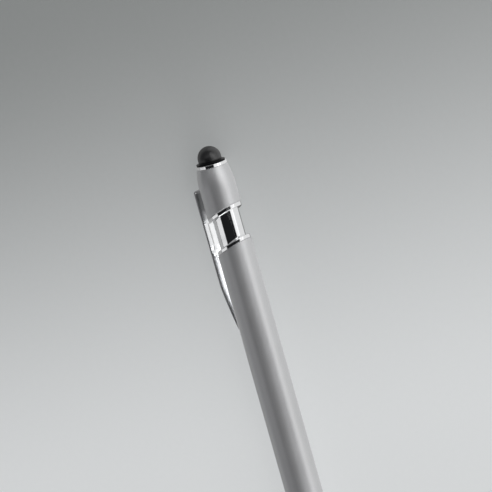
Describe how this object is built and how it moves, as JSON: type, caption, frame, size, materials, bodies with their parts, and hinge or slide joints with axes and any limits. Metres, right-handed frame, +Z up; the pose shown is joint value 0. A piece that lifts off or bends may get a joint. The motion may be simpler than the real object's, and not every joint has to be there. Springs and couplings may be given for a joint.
{
  "type": "stylus pen",
  "caption": "Push-action metal ballpoint pen with a rubber stylus dome on its push cap, slanted chrome rings, a bright push rod, a sprung clip and a sliding refill.",
  "frame": {"origin": "centre of the pen's box on the table that it lies on", "axes": "+X along the pen from the stylus dome to the writing point, +Z up from the table, clip on the -Y side"},
  "size_m": [0.142, 0.013, 0.0105],
  "materials": {
    "anodised_aluminium": "satin silver-grey anodised aluminium",
    "chrome_plate": "bright chrome plate on turned brass or steel",
    "chrome_strip": "bright chrome plate on spring strip",
    "stylus_rubber": "matte black conductive silicone rubber",
    "core_plastic": "black moulded plastic",
    "cam_plastic": "natural moulded acetal",
    "sleeve_plastic": "dark grey moulded plastic",
    "refill_plastic": "milky extruded polypropylene",
    "ink": "black paste ink",
    "brass": "turned brass",
    "hard_steel": "polished hard metal ball",
    "spring_steel": "drawn spring wire"
  },
  "bodies": {
    "barrel": {"barrel": "anodised_aluminium", "barrel_trim_ring": "chrome_plate", "cam_sleeve": "sleeve_plastic", "thread_bush": "brass", "nose_cone": "chrome_plate", "return_spring": "spring_steel"},
    "push_cap": {"cap_shell": "anodised_aluminium", "cap_core": "core_plastic", "cap_trim_ring": "chrome_plate", "push_rod": "chrome_plate", "plunger": "cam_plastic", "stylus_collar": "chrome_plate", "stylus_tip": "stylus_rubber"},
    "clip": {"clip": "chrome_strip"},
    "refill": {"rotor": "cam_plastic", "refill_end_plug": "refill_plastic", "refill_tube": "refill_plastic", "ink_column": "ink", "point_holder": "brass", "ball_point": "brass"},
    "ball": {"writing_ball": "hard_steel"}
  },
  "joints": [
    {"name": "push_slide", "type": "slide", "parent": "barrel", "child": "push_cap", "axis": [1, 0, 0], "range_m": [0, 0.006], "stiffness_N_per_m": 300, "springref_m": -0.005},
    {"name": "refill_slide", "type": "slide", "parent": "barrel", "child": "refill", "axis": [1, 0, 0], "range_m": [0, 0.006], "deforming": ["return_spring"]},
    {"name": "clip_flex", "type": "hinge", "parent": "push_cap", "child": "clip", "pos_m": [-0.0589, -0.00324, 0.00328], "axis": [0, 0.403, -0.9152], "range_deg": [0, 4], "stiffness_Nm_per_rad": 3},
    {"name": "ball_roll", "type": "hinge", "parent": "refill", "child": "ball", "pos_m": [0.069, 0.00124, 0.00525], "axis": [0, 1, 0], "continuous": true}
  ],
  "couplings": [
    {"joint": "refill_slide", "follows": "push_slide", "ratio": 1}
  ]
}
